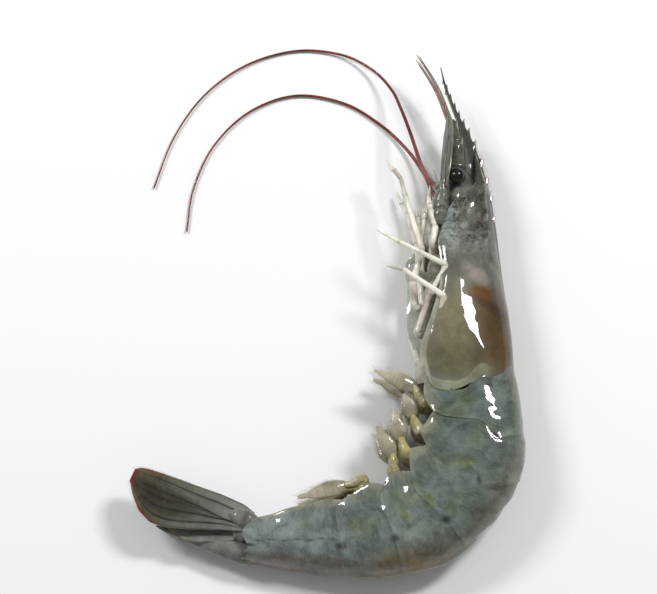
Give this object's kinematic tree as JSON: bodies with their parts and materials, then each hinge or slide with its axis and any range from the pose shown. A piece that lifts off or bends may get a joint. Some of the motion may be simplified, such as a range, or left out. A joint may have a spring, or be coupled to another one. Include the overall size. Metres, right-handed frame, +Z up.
{
  "type": "raw whiteleg shrimp",
  "caption": "Raw whole shrimp lying on its side, abdomen curled and tail fanned, with rostrum, eyes, antennae, walking legs and swimming legs, for a food display.",
  "frame": {"origin": "on the surface that the shrimp lies on, under the middle of the whole animal", "axes": "+Z up, out of the left flank; +Y the way the head and rostrum point; +X towards the back, so that the legs and the curled tail are on the -X side"},
  "size_m": [0.089, 0.1306, 0.0181],
  "materials": {
    "shell": "wet and glossy, translucent grey-green with fine dark specks",
    "tail": "wet and glossy, dark olive grey with red margins",
    "leg": "wet, glossy, milky cream and slightly translucent",
    "pleopod": "wet, glossy, translucent yellow-brown",
    "antenna": "glossy, dark red",
    "eye": "polished black"
  },
  "bodies": {
    "root": {"antenna_left": "antenna", "antenna_right": "antenna", "antennal_base_left": "shell", "antennal_base_right": "shell", "antennal_scale_left": "shell", "antennal_scale_right": "shell", "antennule_left": "shell", "antennule_right": "shell", "breast": "leg", "carapace": "shell", "endopod_left": "tail", "endopod_right": "tail", "exopod_left": "tail", "exopod_right": "tail", "eye_left": "eye", "eye_right": "eye", "eyestalk_left": "shell", "eyestalk_right": "shell", "leg_1_left": "leg", "leg_1_right": "leg", "leg_2_left": "leg", "leg_2_right": "leg", "leg_3_left": "leg", "leg_3_right": "leg", "leg_4_left": "leg", "leg_4_right": "leg", "leg_5_left": "leg", "leg_5_right": "leg", "mouth_leg_left": "leg", "mouth_leg_right": "leg", "pleopod_1_left": "pleopod", "pleopod_1_right": "pleopod", "pleopod_2_left": "pleopod", "pleopod_2_right": "pleopod", "pleopod_3_left": "pleopod", "pleopod_3_right": "pleopod", "pleopod_4_left": "pleopod", "pleopod_4_right": "pleopod", "pleopod_5_left": "pleopod", "pleopod_5_right": "pleopod", "somite_1": "shell", "somite_2": "shell", "somite_3": "shell", "somite_4": "shell", "somite_5": "shell", "somite_6": "shell", "telson": "shell"}
  },
  "joints": []
}
